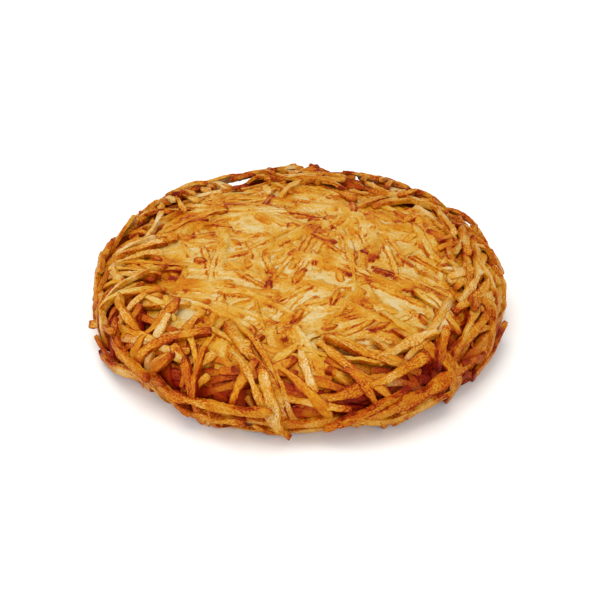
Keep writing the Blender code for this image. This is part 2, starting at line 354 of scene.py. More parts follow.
# the crust: strands that have melted together, painted into maps of the rolled-out top
meltedStrands = {
    # broad flakes, the lowest and palest of all; each rule lays bundles of a few strands side by side
    "flakes": {"count": 70, "walk": (0.0, 46.0), "length": (7.0, 15.0), "width": (4.0, 7.0),
               "relief": (0.12, 0.25), "rise": (0.0, 0.3), "bend": 20.0, "scatter": 25.0,
               "tone": (-0.28, -0.10), "edge": 0.5, "bundle": (1, 1)},
    "pale": {"count": 26, "walk": (0.0, 50.0), "length": (12.0, 24.0), "width": (1.8, 2.9),
             "relief": (0.35, 0.6), "rise": (0.2, 0.6), "bend": 22.0, "scatter": 14.0,
             "tone": (-0.20, -0.02), "edge": 0.8, "bundle": (2, 4)},
    "golden": {"count": 132, "walk": (0.0, 50.0), "length": (9.0, 24.0), "width": (1.3, 2.0),
               "relief": (0.5, 0.9), "rise": (0.4, 1.1), "bend": 28.0, "scatter": 13.0,
               "tone": (-0.16, 0.12), "edge": 1.0, "bundle": (1, 3)},
    "ridges": {"count": 105, "walk": (38.0, 51.5), "length": (7.0, 22.0), "width": (1.6, 2.6),
               "relief": (0.9, 1.5), "rise": (0.5, 1.9), "bend": 26.0, "slant": 34.0, "tone": (-0.10, 0.12),
               "edge": 0.9, "bundle": (1, 2)},
    "bits": {"count": 52, "walk": (0.0, 46.0), "length": (3.5, 7.8), "width": (1.4, 2.2),
             "relief": (0.5, 0.8), "rise": (0.9, 1.25), "bend": 34.0, "scatter": 24.0, "tone": (0.06, 0.22),
             "edge": 1.6, "bundle": (1, 1)},
}
# the pale potato under them, browner towards the rim
ground = {"tone": -0.21, "from": 36.0, "to": 49.0, "relief": 0.22, "spacing": 3.5}
crust = {"height": bareCore.copy()}
for look in ("across", "burnt", "tone", "along", "beside", "strand"):
    crust[look] = np.zeros_like(bareCore)


meltedShape = {
    "flat": 0.7,            # share of its width that is flat on top
    "curl": 0.10,           # how far its edges curl up, in mm
    "curlWidth": 0.14,
    "lean": 0.22,           # how much higher one long edge can lie than its middle
    "shortest": 8.0,        # below this length a strand is boat shaped
    "footShadeAway": 0.12,       # how far beside it a line of painted shade lies
    "footShadeStrength": 0.9,
}


def burntTips(ends, fromShare, reach, places):
    # how browned both ends are: only those past the share, and the more the further in
    return np.maximum(*(
        (end > fromShare) * (1.0 - smoothStep(reach[0], reach[1] + reach[2] * end, place))
        for end, place in zip(ends, places)
    ))


def meltIn(draw, path, width, relief, tops, tone, edge=1.0):
    smooth = np.convolve(np.pad(tops, 2, mode="edge"), np.ones(5) / 5.0, mode="valid")
    fine, height, share = finePath(path, smooth)
    length = len(path[0]) - 1.0
    toStart, toEnd = share * length, (1.0 - share) * length
    fadeLength, tip = (0.5 * length, 0.05) if length < meltedShape["shortest"] else (1.6, 0.3)
    fade = np.clip(np.minimum(toStart, toEnd) / fadeLength, 0.0, 1.0)
    turn = draw.uniform(0.0, 6.0)
    ragged = 1.0 + 0.15 * np.sin(toStart * 0.95 + turn) + 0.11 * np.sin(toStart * 2.3 + 2.0 * turn)
    half = width / 2 * ragged * (tip + (1.0 - tip) * np.sqrt(1.0 - (1.0 - fade) ** 2))
    ends = draw.random(), draw.random()
    burnt = burntTips(ends, 0.5, (0.2, 1.0, 2.6), (toStart, toEnd))
    lean = draw.uniform(-meltedShape["lean"], meltedShape["lean"])
    edge *= draw.uniform(0.6, 1.35)
    for shift in np.linspace(-1.0, 1.0, round(14 * width / 2) + 7):
        cells = mapCell(*sideways(fine, shift * half))
        # flat on top with a low curled-up edge, then down steeply
        pastFlat = abs(shift) - meltedShape["flat"]
        curl = meltedShape["curl"] * math.exp(-(pastFlat / meltedShape["curlWidth"]) ** 2)
        fall = relief * (max(0.0, pastFlat) / 0.3) ** 2
        top = height + curl - fall + lean * shift - 0.5 * relief * (1.0 - fade) ** 2
        higher = top > crust["height"][cells]
        cells = cells[0][higher], cells[1][higher]
        crust["height"][cells] = top[higher]
        crust["across"][cells] = abs(shift) * edge * (1.0 if shift * lean < 0.0 else 0.8)     # browned edges, the lower side darker as painted shade
        crust["burnt"][cells] = burnt[higher]
        crust["tone"][cells] = tone
        crust["along"][cells] = toStart[higher]
        crust["beside"][cells] = shift * width / 2
        crust["strand"][cells] = turn
    # painted shade: a dark line in the crease along its foot
    for shift in (-1.0, 1.0):
        cells = mapCell(*sideways(fine, shift * (half + meltedShape["footShadeAway"])))
        lower = height > crust["height"][cells]
        cells = cells[0][lower], cells[1][lower]
        crust["across"][cells] = np.maximum(crust["across"][cells], meltedShape["footShadeStrength"] * edge)


def blurMap(values, rounds):
    for _ in range(rounds):
        for axis in (0, 1):
            values = 0.5 * values + 0.25 * (np.roll(values, 1, axis) + np.roll(values, -1, axis))
    return values


def layGround():
    axis = np.arange(heapSide) * heapMap["step"] - heapMap["half"]
    crust["along"], crust["beside"] = np.meshgrid(axis, axis, indexing="ij")
    walk = np.hypot(crust["along"], crust["beside"])
    crust["tone"] += ground["tone"] * (1.0 - smoothStep(ground["from"], ground["to"], walk))
    spots = zip(crust["along"].ravel() / ground["spacing"], crust["beside"].ravel() / ground["spacing"])
    relief = np.array([noise.noise(Vector((x, y, 3.0))) for x, y in spots])
    crust["height"] += ground["relief"] * relief.reshape(heapSide, heapSide)


def layMeltedStrands(seed):
    draw = random.Random(seed)
    for rule in meltedStrands.values():
        for i in range(rule["count"]):
            place = placeOf(draw, rule, (i * 7) % rule["count"])
            shift, rise = 0.0, blend(*rule["rise"], (i + draw.random()) / rule["count"])
            for _ in range(draw.randint(*rule["bundle"])):
                width, length = draw.uniform(*rule["width"]), draw.uniform(*rule["length"])
                bend = math.radians(draw.uniform(-rule["bend"], rule["bend"]))
                start = beside(*place, shift, draw.uniform(-0.25, 0.25) * length)
                path = tracePath(start[0], start[1], start[2] + math.radians(draw.gauss(0.0, 4.0)), length, bend)
                tops = bareCore[mapCell(path[0], path[1])] + rise + draw.uniform(-0.08, 0.08)
                relief, tone = draw.uniform(*rule["relief"]), draw.uniform(*rule["tone"])
                meltIn(draw, path, width, relief, tops, tone, rule["edge"])
                shift += width * draw.uniform(0.85, 1.25)
    crust["height"] = blurMap(crust["height"], 1)
    np.maximum(heap, crust["height"], out=heap)


# the large strands, by the same rules and draws as in the solid
bigStrands = {
    "sections": ((2.9, 1.6), (2.4, 1.9), (3.3, 1.4)),
    "sideRadius": 51.4, "sideBulge": 4.5, "nestLow": 3.0, "nestHigh": 15.0, "lowest": 1.7,
    "nestCount": 48, "drapedCount": 24, "crustCount": 24, "footCount": 10,
    "slim": 0.88,       # fried thinner than the solid has them
    # start and end as (azimuth in degrees, radius, height), and how far the middle arches up: read in the
    # photo, heights guessed, and worked out with its camera, as the solid has them
    "standingOut": (
        ((-124, 42, 16), (-84, 53, 5), 1.5),
        ((-71, 54, 4), (-37, 56, 10), 1.5),
        ((-136, 34, 17.5), (-132, 51, 9.5), 1.5),
        ((-127, 53, 5), (-104, 48, 8), 0.5),
        ((-174, 44, 15), (-150, 56, 6), 2.0),
        ((-151, 54, 10), (-122, 54, 3), 1.0),
        ((-155, 45, 14), (-135, 52, 8), 1.5),
        ((-148, 41, 16.5), (-137, 52, 9), 1.0),
        ((-122, 34, 18), (-97, 49, 13.5), 1.0),
        ((-104, 48, 6), (-116, 54, 2.5), 0.0),
        ((-30, 41, 16), (-52, 53, 8), 1.5),
        ((-8, 53, 12), (-31, 44, 15), 1.0),
        ((-12, 55, 10), (-38, 52, 9), 2.0),
        ((-14, 57, 6), (-38, 56, 4), 1.0),
        ((23, 39, 17), (-8, 53, 12), 1.5),
        ((3, 39, 17), (-14, 49, 13), 1.0),
        ((27, 57, 12), (6, 53, 10), 1.0),
        ((92, 43, 15), (72, 56, 13.5), 1.5),
        ((84, 56, 15), (99, 44, 15.5), 0.5),
        ((146, 57.5, 13), (158, 52, 12.5), 0.0),
        ((163, 55, 13.5), (-177, 55.5, 10.5), 1.0),
        ((-79, 49, 6), (-60, 47, 13), 1.0),
        ((-82, 46, 16), (-66, 53, 10), 0.5),
        ((-80, 36, 18.5), (-56, 53, 14), 1.0),
        ((-166, 58.5, 6), (-160, 51, 10), 0.0),
        ((-176, 57, 7), (169, 57.5, 12), 0.5),
        ((-160, 57, 6), (-144, 54.5, 3), 0.5),
        ((-66, 55, 3), (-47, 56, 5), 0.5),
        ((106, 57, 12.5), (126, 57.5, 11.5), 0.5),
        ((71, 56, 13.5), (54, 58, 12.5), 0.5),
        # two loose tips that the solid leaves out
        ((171, 56, 12.5), (154, 53.5, 16.8), 0.8),
        ((37, 54.5, 12.5), (24, 56.5, 14), 0.8),
    ),
}


def ringStrand(start, end, bow, arch):
    share = np.linspace(0.0, 1.0, 25)
    hump = 4.0 * share * (1.0 - share)
    azimuth = np.radians(blend(start[0], end[0], share))
    radius = blend(start[1], end[1], share) + bow * hump
    height = blend(start[2], end[2], share) + arch * hump
    return np.column_stack((radius * np.cos(azimuth), radius * np.sin(azimuth), height))


def nestStrands(draw):
    low, high, count = bigStrands["nestLow"], bigStrands["nestHigh"], bigStrands["nestCount"]
    middle = (low + high) / 2
    for i in range(count):
        azimuth = goldenAngle * i + draw.uniform(-6.0, 6.0)
        height = blend(low, high, (i + 0.5) / count)
        bulge = 1.0 - ((height - middle) / (high - middle)) ** 2
        radius = bigStrands["sideRadius"] + bigStrands["sideBulge"] * bulge + draw.uniform(-3.0, 1.3)
        span = math.degrees(draw.uniform(17.0, 35.0) / radius)
        drift, rise = draw.uniform(-2.8, 2.8), draw.uniform(-5.2, 5.2)
        start = (azimuth - span / 2, radius - drift, max(bigStrands["lowest"], height - rise))
        end = (azimuth + span / 2, radius + drift, max(bigStrands["lowest"], height + rise))
        yield ringStrand(start, end, draw.uniform(-1.0, 1.6), draw.uniform(-0.8, 1.2))


def drapedStrands(draw):
    count = bigStrands["drapedCount"]
    for i in range(count):
        azimuth = 360.0 * (i + draw.uniform(-0.35, 0.35)) / count
        inner, outer, skew = draw.uniform(32.0, 40.0), draw.uniform(50.0, 56.0), draw.uniform(-32.0, 32.0)
        start = (azimuth - skew / 2, inner, crustHeight(inner) + draw.uniform(0.3, 1.0))
        end = (azimuth + skew / 2, outer, draw.uniform(6.5, 12.5))
        yield ringStrand(start, end, 0.0, draw.uniform(1.4, 2.8))


def crustStrands(draw):
    count = bigStrands["crustCount"]
    for i in range(count):
        radius = cake["shoulderRadius"] * math.sqrt((i + 0.5) / count)
        azimuth = math.radians(goldenAngle * i + draw.uniform(-8.0, 8.0))
        heading, length = draw.uniform(0.0, 180.0), draw.uniform(16.0, 28.0)
        bend, lift = draw.uniform(-35.0, 35.0), draw.uniform(-0.35, 0.35)
        away = np.linspace(-0.5, 0.5, 25)
        turn = np.radians(heading + bend * away)
        x = radius * math.cos(azimuth) + np.cumsum(np.cos(turn)) * length / 24 - length / 2 * math.cos(turn[12])
        y = radius * math.sin(azimuth) + np.cumsum(np.sin(turn)) * length / 24 - length / 2 * math.sin(turn[12])
        height = np.array([crustHeight(r) for r in np.hypot(x, y)]) + lift
        yield np.column_stack((x, y, height))


def footStrands(draw):
    count = bigStrands["footCount"]
    for i in range(count):
        azimuth = 360.0 * (i + draw.uniform(-0.3, 0.3)) / count
        radius = draw.uniform(44.0, 49.0)
        span = math.degrees(draw.uniform(20.0, 32.0) / radius)
        drift, height = draw.uniform(-4.0, 4.0), draw.uniform(1.7, 2.6)
        start = (azimuth - span / 2, radius - drift, height)
        end = (azimuth + span / 2, radius + drift, height + draw.uniform(0.0, 1.5))
        yield ringStrand(start, end, draw.uniform(-1.0, 1.0), 0.0)


def standingOut(draw):
    for start, end, arch in bigStrands["standingOut"]:
        turn = (end[0] - start[0] + 180.0) % 360.0 - 180.0
        yield ringStrand(start, (start[0] + turn, end[1], end[2]), draw.uniform(-1.0, 1.0), arch)


# rules and seeds as in the solid; those of the nest, the draped strands and the foot were picked, out of 1500,
# 400 and 300, for the outline nearest the photo's
bigSeeds = ((nestStrands, 1040), (drapedStrands, 378), (crustStrands, 2), (footStrands, 189), (standingOut, 4))


def layBigStrands():
    laid = {}
    for rule, seed in bigSeeds:
        draw = random.Random(seed)
        shapes = random.Random(seed + 50)
        laid[rule.__name__] = []
        for points in rule(draw):
            width, thickness = bigStrands["sections"][draw.randrange(3)]
            size = draw.uniform(0.85, 1.12)
            twist = draw.uniform(-70.0, 70.0)
            walk, azimuth, offset = fromCake(points)
            slimmed = width * size * bigStrands["slim"]
            strand = laidStrand(shapes, (walk, azimuth), offset, slimmed, thickness * size)
            strand["points"] = points
            strand["twist"] = (-twist / 2, twist / 2)
            step = np.gradient(points, axis=0)
            radial = np.column_stack((np.cos(azimuth), np.sin(azimuth), np.zeros(len(walk))))
            tangent = np.column_stack((-np.sin(azimuth), np.cos(azimuth), np.zeros(len(walk))))
            heading = np.arctan2((step * tangent).sum(axis=1), np.hypot((step * radial).sum(axis=1), step[:, 2]))
            if rule is crustStrands:
                tops = offset + thickness * size / 2
                meltIn(shapes, (walk, azimuth, heading), width * size, 1.0, tops, shapes.uniform(-0.05, 0.12))
            else:
                pressIn((walk, azimuth, heading), offset, width, thickness)
            laid[rule.__name__].append(strand)
    return laid


# finer strands, each laid on what is there already
fillStrands = {
    # under the nest: they hide the core's side and shoulder; their darker tone is painted shade
    "side": {"count": 330, "walk": (46.0, 69.0), "length": (12.0, 30.0), "width": (1.9, 3.0),
             "thickness": (1.1, 1.8), "sink": (0.2, 0.8), "room": 0.6, "lean": 50.0, "bend": 14.0,
             "twist": 25.0, "tone": (0.12, 0.30)},
    # golden ones half sunk into the crust
    "golden": {"count": 70, "walk": (37.0, 52.0), "length": (9.0, 23.0), "width": (1.4, 2.4),
               "thickness": (0.9, 1.5), "sink": (0.5, 1.0), "room": 1.25, "bend": 30.0, "twist": 40.0,
               "tone": (-0.16, 0.06)},
    # over the shoulder and the rim, on top of the large ones
    "rim": {"count": 235, "walk": (44.0, 63.0), "length": (9.0, 27.0), "width": (1.6, 2.7),
            "thickness": (1.1, 1.8), "sink": (0.1, 0.4), "room": 1.25, "slant": 30.0, "bend": 30.0,
            "twist": 90.0, "tone": (-0.18, 0.04)},
    # short ones across the back rim, which tie its outermost strands to the crust
    "bridges": {"count": 210, "walk": (49.0, 56.5), "length": (6.0, 15.0), "width": (1.3, 2.2),
                "thickness": (0.9, 1.5), "sink": (0.3, 0.8), "room": 1.8, "cross": 62.0, "bend": 40.0,
                "twist": 60.0, "tone": (-0.18, 0.04)},
    # loose ones round the back and the sides, with one end lifted off
    "tips": {"count": 60, "walk": (48.0, 57.0), "length": (6.0, 11.0), "width": (1.6, 2.4),
             "thickness": (1.0, 1.6), "sink": (0.3, 0.8), "room": 1.6, "slant": 45.0, "bend": 25.0,
             "twist": 50.0, "tone": (-0.14, 0.06), "lift": 2.2},
}
# where light shows through behind the outermost strands: azimuth and half the width of the gap, in degrees
rimGaps = ((35, 1.5), (67, 1), (74, 1.5), (107, 1), (112, 1), (117, 1.5), (127, 1.5), (155, 2))
# and hollows between the strands, dark inside: how large they are, in mm, and which share of the noise makes one
hollows = {"size": 9.0, "from": 0.21, "backFrom": 0.6, "seed": 21.0}


def inGap(path):
    azimuth = np.degrees(path[1])[:, None]
    middle, half = np.array(rimGaps, float).T
    near = np.abs((azimuth - middle + 180.0) % 360.0 - 180.0) < half
    return bool((near.any(axis=1) & (path[0] > 51.5) & (path[0] < 61.0)).any())


def middleOf(path):
    middle = len(path[0]) // 2
    return onCake(path[0][middle:middle + 1], path[1][middle:middle + 1], 0.0)[0][0]


def inHollow(path):
    point = middleOf(path)
    value = noiseAt([point], hollows["size"], (0.0, 0.0, hollows["seed"]))[0]
    return value > blend(hollows["from"], hollows["backFrom"], smoothStep(-25.0, 5.0, point[1]))


# at the back the strands have melted into the crust: they are sunk into it there
fusedBack = {"sink": 0.7, "from": -5.0, "to": 22.0, "walk": 54.0}


def fusedAt(path):
    walk = path[0][len(path[0]) // 2]
    return smoothStep(fusedBack["from"], fusedBack["to"], middleOf(path)[1]) * (walk < fusedBack["walk"])


def layFillStrands(kind, seed):
    draw = random.Random(seed)
    rule = fillStrands[kind]
    laid = []
    for i in range(rule["count"]):
        path = pathOf(draw, rule, i)
        width, thickness = draw.uniform(*rule["width"]), draw.uniform(*rule["thickness"])
        room = rule["room"] * draw.uniform(0.75, 1.25)
        sink, tone = draw.uniform(*rule["sink"]), draw.uniform(*rule["tone"])
        twist = draw.uniform(-rule["twist"], rule["twist"])
        if kind == "rim" and (inGap(path) or inHollow(path)):
            continue
        if kind == "bridges" and (inGap(path) or math.sin(path[1][len(path[0]) // 2]) < 0.3):
            continue
        if inGap(path):
            room *= 0.15
        if kind != "bridges":
            sink += fusedBack["sink"] * fusedAt(path)
        offset = settle(path, width, thickness, sink, room)
        pressIn(path, offset, width, thickness)
        if kind == "tips":
            lifted = np.linspace(*draw.choice(((0.0, 1.0), (1.0, 0.0))), len(offset)) ** 1.5
            offset = offset + rule["lift"] * draw.uniform(0.4, 1.0) * lifted
            reach = onCake(path[0], path[1], offset + thickness)[0]
            if math.sin(path[1][0]) < -0.3 or (reach < strandBox[0]).any() or (reach > strandBox[1]).any():
                continue
        laid.append(laidStrand(draw, path, offset, width, thickness, tone=tone, twist=(-twist / 2, twist / 2)))
    return laid


# starch that sticks neighbouring strands together: a skin a little below them, deeper where they leave a gap
webs = {"rounds": 20, "below": 0.8, "room": ((36.0, -2.0), (42.0, 0.6), (48.0, 1.6), (54.0, 2.4), (66.0, 2.4))}


def webSkin():
    skin = blurMap(heap, webs["rounds"]) - webs["below"]
    axis = np.arange(heapSide) * heapMap["step"] - heapMap["half"]
    walk = np.hypot(*np.meshgrid(axis, axis, indexing="ij"))
    return np.maximum(bareCore, np.minimum(skin, np.interp(walk, *zip(*webs["room"]))))


# one strand's mesh, and many of them joined
strandMesh = {
    "wobble": 0.42,         # how far its middle line strays, in mm
    "wobbleSpacing": 9.0,
    "bumps": 0.20,          # unevenness of its surface
    "bumpSpacing": 1.4,
    "widthChange": 0.36,    # share of its width that comes and goes along it
    "widthSpacing": 5.0,
    "endLength": 1.1,
    "sharpFrom": 30.0,      # degrees
    "pressed": 0.5,         # the pan's flat spots on different strands differ by up to this, in mm
    "margin": 0.06,         # free border of its rectangle on the map
}


def strandTemplate(rings, sides):
    shape = bmesh.new()
    bmesh.ops.create_cone(shape, cap_ends=True, segments=sides, radius1=1.0, radius2=1.0, depth=2.0)
    lengthwise = [edge for edge in shape.edges if abs(edge.verts[0].co.z - edge.verts[1].co.z) > 1.0]
    bmesh.ops.subdivide_edges(shape, edges=lengthwise, cuts=rings - 2)
    bmesh.ops.recalc_face_normals(shape, faces=shape.faces)
    shape.verts.index_update()
    places = np.array([vertex.co for vertex in shape.verts])
    template = {
        "rings": rings,
        "ring": np.rint((places[:, 2] + 1.0) / 2.0 * (rings - 1)).astype(int),
        "angle": np.arctan2(places[:, 1], places[:, 0]),
        "faces": [[vertex.index for vertex in face.verts] for face in shape.faces],
        "uv": [],
    }
    margin = strandMesh["margin"]
    for face in shape.faces:
        middle = face.calc_center_median()
        for vertex in face.verts:
            if len(face.verts) > 4:     # an end cap has a small square of its own
                side = margin / 2 if middle.z < 0 else 1.0 - margin / 2
                template["uv"].append((side + vertex.co.x * margin * 0.3, 0.5 + vertex.co.y * 0.3))
            else:
                facing = math.atan2(middle.y, middle.x)
                away = math.atan2(vertex.co.y, vertex.co.x) - facing
                around = (facing + math.remainder(away, 2 * math.pi)) / (2 * math.pi) + 0.5
                along = blend(1.6 * margin, 1.0 - 1.6 * margin, (vertex.co.z + 1.0) / 2.0)
                template["uv"].append((along, blend(margin, 1.0 - margin, around)))
    template["uv"] = np.array(template["uv"])
    shape.free()
    return template


def ringPlaces(strand, rings):
    # middle line, sides and thickness of a strand at each ring; the rings are closer together at its ends
    points = strand["points"]
    along = np.concatenate(([0.0], np.cumsum(np.linalg.norm(np.diff(points, axis=0), axis=1))))
    length = along[-1]
    inner = np.linspace(0.9, length - 0.9, rings - 2)
    at = np.concatenate(([0.0], inner, [length]))
    at[1], at[-2] = 0.35, length - 0.35
    middle = np.column_stack([np.interp(at, along, points[:, axis]) for axis in range(3)])
    up = np.column_stack([np.interp(at, along, strand["normals"][:, axis]) for axis in range(3)])
    seed = Vector((strand["seed"], -strand["seed"], 0.5 * strand["seed"]))
    spacing = strandMesh["wobbleSpacing"]
    stray = np.array([noise.noise_vector(Vector(point) / spacing + seed) for point in middle])
    middle = middle + stray * strandMesh["wobble"]
    forward = np.gradient(middle, at, axis=0)
    forward /= np.linalg.norm(forward, axis=1)[:, None]
    up = up - forward * (up * forward).sum(axis=1)[:, None]
    up /= np.linalg.norm(up, axis=1)[:, None]
    side = np.cross(forward, up)
    turn = np.radians(np.interp(at, (0.0, length), strand["twist"]))[:, None]
    side, up = side * np.cos(turn) + up * np.sin(turn), up * np.cos(turn) - side * np.sin(turn)
    toEnd = np.minimum(at, length - at)
    fade = np.clip(toEnd / strandMesh["endLength"], 0.0, 1.0)
    blunt = np.interp(at, (0.0, length), (0.35 + 0.5 * strand["ends"][0], 0.35 + 0.5 * strand["ends"][1]))
    taper = blunt + (1.0 - blunt) * np.sqrt(1.0 - (1.0 - fade) ** 2)
    rows = [(place / strandMesh["widthSpacing"], strand["seed"], 3.0) for place in at]
    change = noiseAt(rows, 1.0)
    width = strand["width"] * taper * (1.0 + strandMesh["widthChange"] * 2.0 * change)
    thickness = strand["thickness"] * taper * (1.0 - strandMesh["widthChange"] * change)
    return at, length, middle, side, up, width, thickness


def strandVertices(strand, template):
    at, length, middle, side, up, width, thickness = ringPlaces(strand, template["rings"])
    ring, angle = template["ring"], template["angle"]
    power = 2.0 / strand["boxy"]
    across = np.sign(np.cos(angle)) * np.abs(np.cos(angle)) ** power
    above = np.sign(np.sin(angle)) * np.abs(np.sin(angle)) ** power
    arm = side[ring] * (across * width[ring] / 2)[:, None] + up[ring] * (above * thickness[ring] / 2)[:, None]
    points = middle[ring] + arm
    spacing = strandMesh["bumpSpacing"]
    bump = noiseAt(points, spacing, (0.0, 0.0, strand["seed"]))
    bump += 0.6 * noiseAt(points, 0.4 * spacing, (0.0, 0.0, -strand["seed"]))
    points = points + arm / np.linalg.norm(arm, axis=1)[:, None] * (bump * strandMesh["bumps"])[:, None]
    pressed = (0.0, 0.0, strandMesh["pressed"] * (strand["seed"] % 1.0))
    points = np.clip(points, strandBox[0] + pressed, strandBox[1])
    fromStart, fromEnd = at[ring], length - at[ring]
    burnt = burntTips(strand["ends"], 0.45, (0.3, 1.2, 2.4), (fromStart, fromEnd))
    # painted shade: how far other strands lie over it, which the material darkens
    cover = heap[mapCell(strand["walk"], strand["azimuth"])] - strand["offset"] - strand["thickness"] / 2
    cover = np.convolve(np.pad(cover, 4, mode="edge"), np.ones(9) / 9.0, mode="valid")     # the painted shade is smoothed along it
    alongPath = np.linspace(0.0, length, len(cover))
    deep = np.interp(at, alongPath, np.clip(cover, 0.0, 4.0))[ring]
    grain = np.column_stack((fromStart, across * strand["width"] / 2, above * strand["thickness"] / 2))
    return points, across, burnt, deep, fibres(grain, strand["seed"])


def fibres(grain, strand):
    # where a point lies along, across and up its own strand, drawn out so that a pattern there runs lengthwise
    return grain * (0.55, 1.0, 1.0) + np.multiply.outer(strand, (7.0, 13.0, 5.0))


toastingAndShade = {
    "centre": 0.32,         # how browned the crust is in the middle
    "rim": 0.10,            # and how much more at the rim
    "right": 0.03, "front": 0.09,       # painted shade: darker towards these sides
    "foot": 0.09,           # and near the pan
    "patches": 0.10,
    "luck": 0.11,           # how much it differs from strand to strand
    "burntEnds": 0.30,
    # where each begins and is full, as a radius or a height in mm
    "rimRadius": (28.0, 52.0), "sideRadius": (34.0, 52.0), "sideHeight": (4.0, 12.0), "footHeight": (2.0, 11.0),
}


def browning(points, tone, luck):
    radius = np.hypot(points[:, 0] - 1.0, points[:, 1] + 1.0)
    value = toastingAndShade["centre"] + toastingAndShade["rim"] * smoothStep(*toastingAndShade["rimRadius"], radius)
    value = value + toastingAndShade["foot"] * (1.0 - smoothStep(*toastingAndShade["footHeight"], points[:, 2]))
    # painted shade: darker towards the right and the front of the rim
    sides = (toastingAndShade["right"] * points[:, 0] - toastingAndShade["front"] * points[:, 1]) / 50.0
    value = value + (
        sides * smoothStep(*toastingAndShade["sideRadius"], radius) * smoothStep(*toastingAndShade["sideHeight"], points[:, 2])
    )
    patches = np.array([patchTone(x, y, 4.0) + patchTone(2.6 * x, 2.6 * y, 9.0) for x, y, _ in points])
    return value + toastingAndShade["patches"] * 2.0 * patches + tone + toastingAndShade["luck"] * 2.0 * (luck - 0.5)


def joinStrands(name, strands, rings, sides, material):
    template = strandTemplate(rings, sides)
    corners = len(template["angle"])
    columns = max(1, round(math.sqrt(len(strands) / 3.0)))
    rows = math.ceil(len(strands) / columns)
    points, faces, cells = [], [], []
    looks = {"browning": [], "across": [], "deep": [], "fibres": []}
    for i, strand in enumerate(strands):
        places, across, burnt, deep, grain = strandVertices(strand, template)
        points.append(places)
        faces.extend([i * corners + corner for corner in face] for face in template["faces"])
        cells.append((template["uv"] + (i % columns, i // columns)) / (columns, rows))
        brown = browning(places, strand["tone"], strand["luck"])
        looks["browning"].append(brown + toastingAndShade["burntEnds"] * burnt)
        looks["across"].append(across)
        looks["deep"].append(deep)
        looks["fibres"].append(grain)
    mesh = bpy.data.meshes.new(name)
    mesh.from_pydata(np.concatenate(points) * mm, [], faces)
    writeLooks(mesh, {look: np.concatenate(values) for look, values in looks.items()})
    layer = mesh.uv_layers.new(name="OFBake")
    layer.data.foreach_set("uv", np.concatenate(cells).astype(np.float32).ravel())
    finishPiece(name, mesh, material, strandMesh["sharpFrom"])


def writeLooks(mesh, looks):
    # what the materials read at each point of the mesh
    for look, values in looks.items():
        kind, field = ("FLOAT", "value") if values.ndim == 1 else ("FLOAT_VECTOR", "vector")
        mesh.attributes.new(look, kind, "POINT").data.foreach_set(field, values.astype(np.float32).ravel())


def finishPiece(name, mesh, material, sharpFrom=None):
    mesh.polygons.foreach_set("use_smooth", np.ones(len(mesh.polygons), dtype=bool))
    if sharpFrom is not None:
        mesh.set_sharp_from_angle(angle=math.radians(sharpFrom))
    mesh.materials.append(material)
    mesh.update()
    piece = bpy.data.objects.new(name, mesh)
    bpy.context.scene.collection.objects.link(piece)
    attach(piece, "root")
    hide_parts("rosti")
    triangles = sum(len(face.vertices) - 2 for face in mesh.polygons)
    print(name, triangles, "triangles")


# the core that shows between the strands
coreMesh = {"around": 280, "ringSpacing": 0.6, "reliefHeight": 0.28, "reliefSpacing": 3.2, "underside": 0.9,
            "sunkUnderCrust": 0.5}


def makeCore(material):
    shape = bmesh.new()
    rings = np.linspace(0.0, footWalk, round(footWalk / coreMesh["ringSpacing"]))
    radius, height = np.interp(rings, walked, outlineRadius), np.interp(rings, walked, outlineHeight)
    height = np.maximum(height, coreMesh["underside"])
    inward = np.linspace(cake["flatRadius"], 0.0, 24)[1:]
    radius = np.concatenate((radius, inward))
    height = np.concatenate((height, np.full(len(inward), coreMesh["underside"])))
    corners = [shape.verts.new((r * mm, 0.0, z * mm)) for r, z in zip(radius, height)]
    lines = [shape.edges.new(pair) for pair in zip(corners, corners[1:])]
    bmesh.ops.spin(
        shape, geom=corners + lines, cent=(0, 0, 0), axis=(0, 0, 1), dvec=(0, 0, 0), angle=2 * math.pi,
        steps=coreMesh["around"], use_merge=True, use_duplicate=False,
    )
    bmesh.ops.remove_doubles(shape, verts=shape.verts, dist=0.01 * mm)
    bmesh.ops.recalc_face_normals(shape, faces=shape.faces)
    mesh = bpy.data.meshes.new("crustCore")
    shape.to_mesh(mesh)
    shape.free()
    points = np.array([vertex.co for vertex in mesh.vertices]) / mm
    walk, azimuth, _ = fromCake(points)
    normals = np.array([vertex.normal for vertex in mesh.vertices])
    lumps = np.array([lumpAt(*point) for point in points])
    relief = noiseAt(points, coreMesh["reliefSpacing"])
    high = smoothStep(0.8, 2.5, points[:, 2])
    cells = mapCell(walk, azimuth)
    skin = webSkin()
    bare = smoothStep(meltedSheet["sunkFrom"] - 1.0, meltedSheet["sunkFrom"] + 1.5, walk)
    lifted = bare * (skin[cells] - bareCore[cells]) - (1.0 - bare) * coreMesh["sunkUnderCrust"]
    points[:, :2] += points[:, :2] / cake["coreRadius"] * lumps[:, None]
    points[:, 2] += lumps * points[:, 2] / cake["crownHeight"]
    points += normals * (high * (lifted + bare * relief * coreMesh["reliefHeight"]))[:, None]
    points = np.clip(points, *strandBox)
    mesh.vertices.foreach_set("co", (points * mm).astype(np.float32).ravel())
    # painted shade: the core shows only in the gaps between the strands, and a tone of 0.18 and its depth under
    # them darken it there
    looks = {
        "browning": browning(points, 0.18, 0.5),
        "across": np.zeros(len(points)),
        "deep": np.clip(heap[cells] - skin[cells] + 0.8, 0.0, 4.0),
        "fibres": points,
    }
    writeLooks(mesh, looks)
    finishPiece("crustCore", mesh, material)


# the melted crust as a closed sheet over the core
meltedSheet = {"reach": 51.9, "sunkFrom": 49.0, "sunkBy": 1.8, "skirt": 1.0, "grooveShade": 6}


